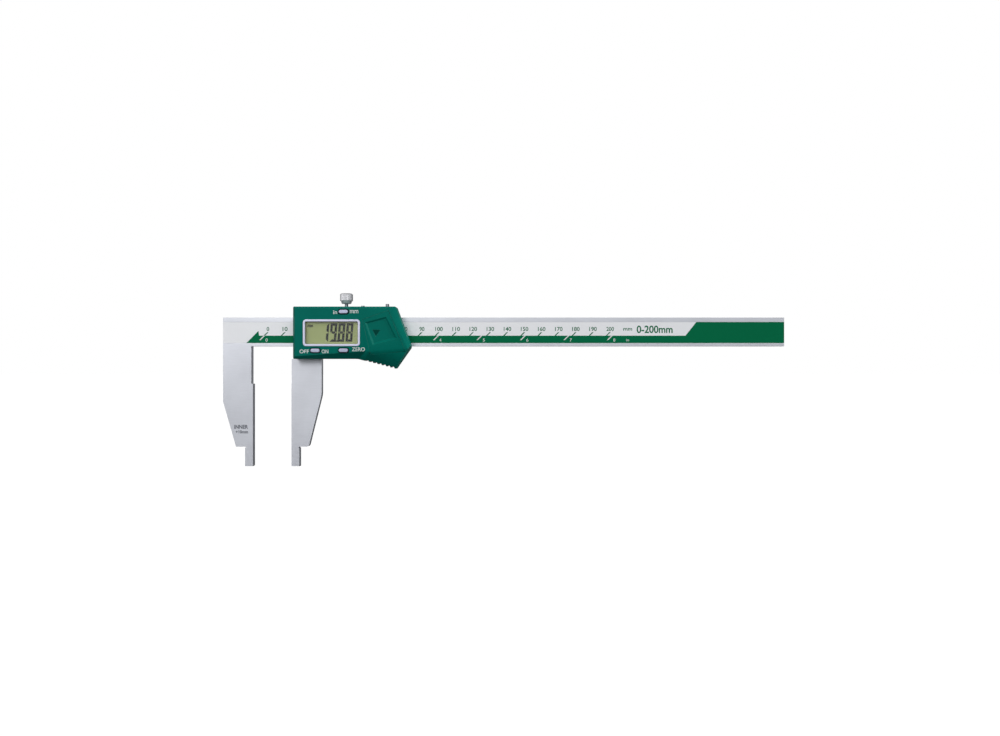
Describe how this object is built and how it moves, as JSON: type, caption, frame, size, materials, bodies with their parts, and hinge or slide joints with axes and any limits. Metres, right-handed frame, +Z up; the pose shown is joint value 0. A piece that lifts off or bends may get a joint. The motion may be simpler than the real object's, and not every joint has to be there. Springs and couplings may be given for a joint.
{
  "type": "digital caliper",
  "caption": "Digital caliper with nib jaws: a steel beam with a printed scale and a sliding jaw that carries a green housing with display, keys and lock screw.",
  "frame": {"origin": "middle of the fixed jaw's measuring face", "axes": "+X along the beam away from the fixed jaw, +Z up from the jaws to the lock screw; the display faces -Y"},
  "size_m": [0.328, 0.0178, 0.101],
  "materials": {
    "ground_steel": "satin ground",
    "scale_film": "printed film",
    "glass_fibre": "bare laminate",
    "bronze": "rolled",
    "screw_steel": "turned",
    "knob_steel": "knurled, nickel plated",
    "green_plastic": "fine moulded texture",
    "silver_trim": "bright satin",
    "clear_plastic": "polished",
    "display_glass": "polarised",
    "black_rubber": "moulded",
    "black_plastic": "moulded",
    "board_laminate": "solder resist",
    "copper": "gold flash",
    "black_resin": "cast",
    "ceramic": "fired",
    "nickel": "bright",
    "button_plastic": "metallic grey",
    "label_aluminium": "brushed"
  },
  "bodies": {
    "beam": {"main_beam": "ground_steel", "scale_strip": "glass_fibre", "scale_cover": "scale_film", "end_stop": "ground_steel", "end_stop_screws": "screw_steel"},
    "slider": {"slider_frame": "ground_steel", "gib_strip": "bronze", "gib_screws": "screw_steel", "rear_plate": "label_aluminium", "front_housing": "green_plastic", "housing_screws": "screw_steel", "display_bezel": "silver_trim", "display_window": "clear_plastic", "lcd_panel": "display_glass", "zebra_strips": "black_rubber", "display_holder": "black_plastic", "main_board": "board_laminate", "sensor_electrodes": "copper", "measuring_chip": "black_resin", "quartz_crystal": "nickel", "chip_capacitors": "ceramic", "board_screws": "screw_steel", "switch_bases": "black_plastic", "battery": "nickel", "battery_contact_positive": "nickel", "battery_contact_negative": "nickel"},
    "battery_door": {"battery_door": "green_plastic"},
    "unit_key": {"unit_button": "button_plastic", "unit_plunger": "black_plastic"},
    "power_key": {"power_button": "button_plastic", "power_plunger": "black_plastic"},
    "zero_key": {"zero_button": "button_plastic", "zero_plunger": "black_plastic"},
    "lock_stem": {"lock_stem": "screw_steel"},
    "lock_knob": {"lock_knob": "knob_steel"}
  },
  "joints": [
    {"name": "slider_travel", "type": "slide", "parent": "beam", "child": "slider", "axis": [1, 0, 0], "range_m": [-0.02249, 0.1864]},
    {"name": "unit_press", "type": "slide", "parent": "slider", "child": "unit_key", "axis": [0, 1, 0], "range_m": [0, 0.0004], "stiffness_N_per_m": 60, "springref_m": -0.004},
    {"name": "power_press", "type": "slide", "parent": "slider", "child": "power_key", "axis": [0, 1, 0], "range_m": [0, 0.0004], "stiffness_N_per_m": 60, "springref_m": -0.004},
    {"name": "zero_press", "type": "slide", "parent": "slider", "child": "zero_key", "axis": [0, 1, 0], "range_m": [0, 0.0004], "stiffness_N_per_m": 60, "springref_m": -0.004},
    {"name": "battery_door_slide", "type": "slide", "parent": "slider", "child": "battery_door", "axis": [0.23, 0, -0.9732], "range_m": [0, 0.016], "stiffness_N_per_m": 2, "springref_m": -0.02},
    {"name": "lock_stem_travel", "type": "slide", "parent": "slider", "child": "lock_stem", "axis": [0, 0, 1], "range_m": [-0.000225, 0.000675]},
    {"name": "lock_knob_turn", "type": "hinge", "parent": "lock_stem", "child": "lock_knob", "pos_m": [0.0543, 0, 0.074], "axis": [0, 0, 1], "range_deg": [-181, 541]}
  ],
  "couplings": [
    {"joint": "lock_knob_turn", "follows": "lock_stem_travel", "rad_per_m": 13963}
  ]
}
